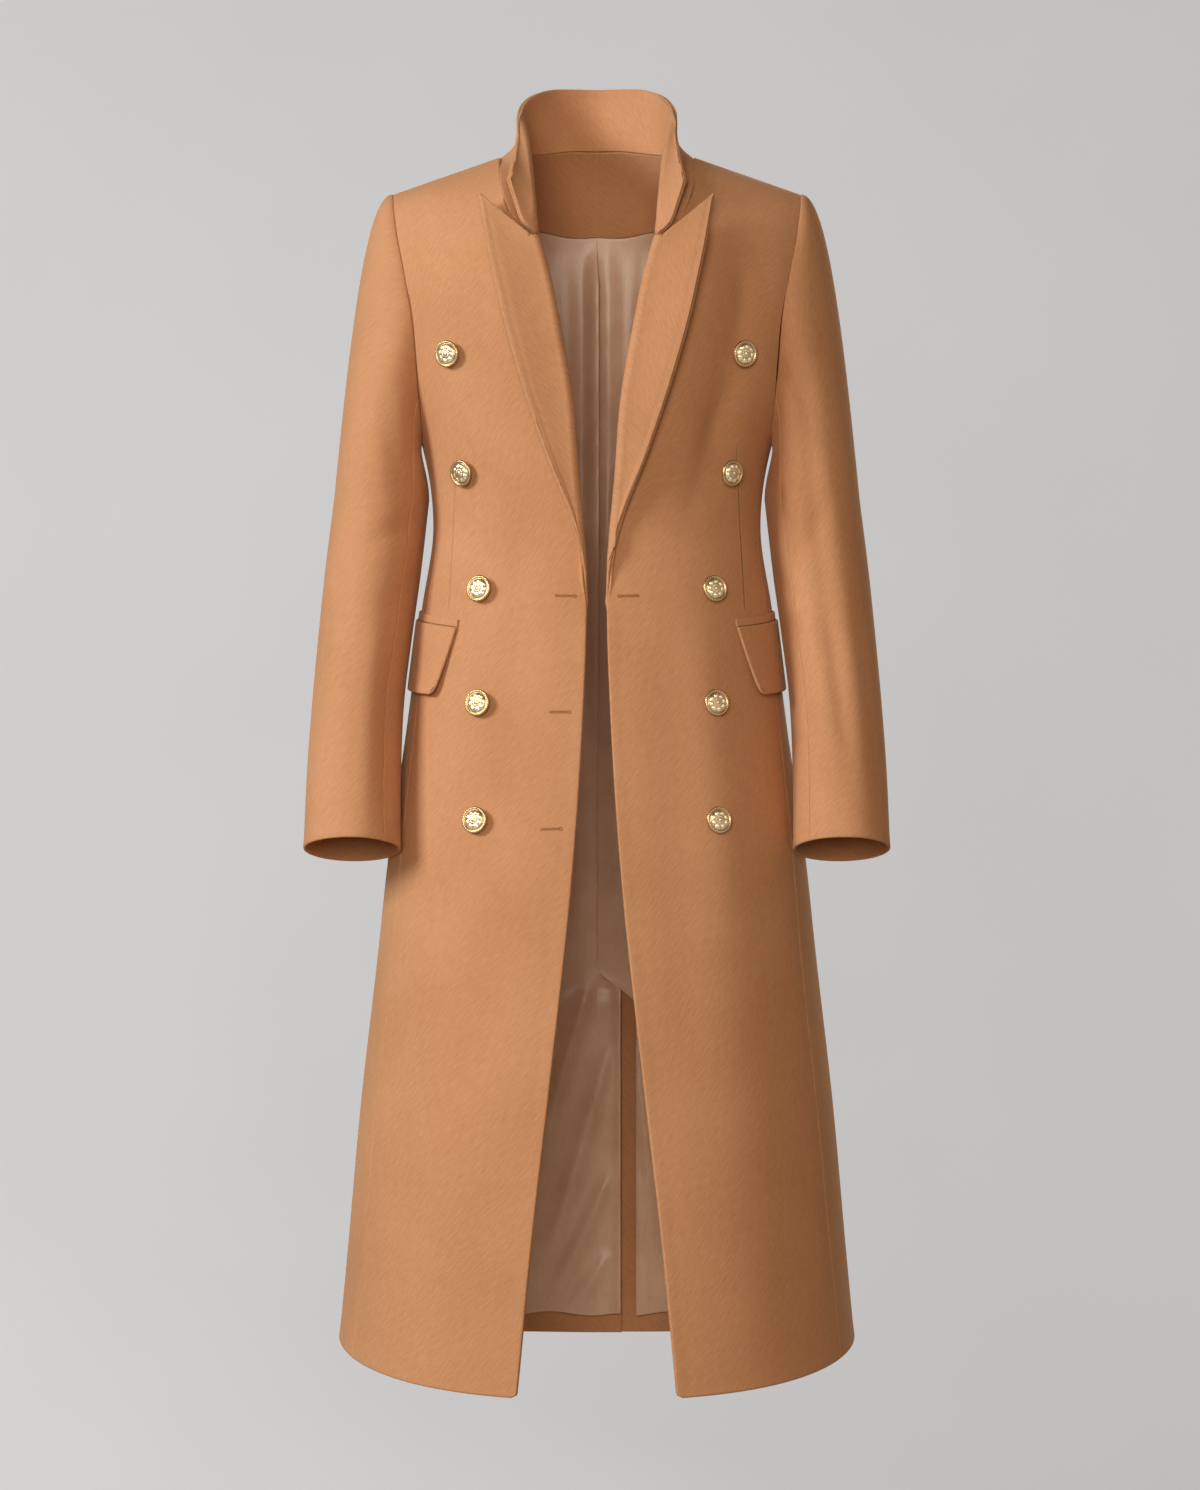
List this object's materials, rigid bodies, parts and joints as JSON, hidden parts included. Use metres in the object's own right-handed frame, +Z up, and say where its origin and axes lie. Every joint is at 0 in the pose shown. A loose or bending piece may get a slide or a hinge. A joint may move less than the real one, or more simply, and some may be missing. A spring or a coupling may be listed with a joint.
{
  "type": "maxi coat",
  "caption": "Ankle-length double-breasted wool coat, worn open and hollow, with turned-up collar, peaked lapels, padded set-in sleeves, slanted flap pockets, satin lining and back vent.",
  "frame": {"origin": "midway between the two shoulder-neck points, where the wearer's shoulders hold the coat up", "axes": "+Z up, -Y to the front, +X to the wearer's left"},
  "size_m": [0.556, 0.3798, 1.2496],
  "materials": {
    "wool_coating": "matt fulled wool coating with a short nap, camel",
    "satin_lining": "satin lining with a soft sheen, taupe",
    "gilt_button": "polished gilt with darker hollows"
  },
  "bodies": {
    "root": {"front_left": "wool_coating", "front_right": "wool_coating", "facing_left": "wool_coating", "facing_right": "wool_coating", "back_left": "wool_coating", "back_right": "wool_coating", "back_neck_facing": "wool_coating", "collar": "wool_coating", "under_collar": "wool_coating", "sleeve_upper_left": "wool_coating", "sleeve_upper_right": "wool_coating", "sleeve_under_left": "wool_coating", "sleeve_under_right": "wool_coating", "pocket_flap_left": "wool_coating", "pocket_flap_right": "wool_coating", "pocket_jet_left": "wool_coating", "pocket_jet_right": "wool_coating", "lining_front_left": "satin_lining", "lining_front_right": "satin_lining", "lining_back_left": "satin_lining", "lining_back_right": "satin_lining", "button_left_1": "gilt_button", "button_left_2": "gilt_button", "button_left_3": "gilt_button", "button_left_4": "gilt_button", "button_left_5": "gilt_button", "button_right_1": "gilt_button", "button_right_2": "gilt_button", "button_right_3": "gilt_button", "button_right_4": "gilt_button", "button_right_5": "gilt_button"}
  },
  "joints": []
}
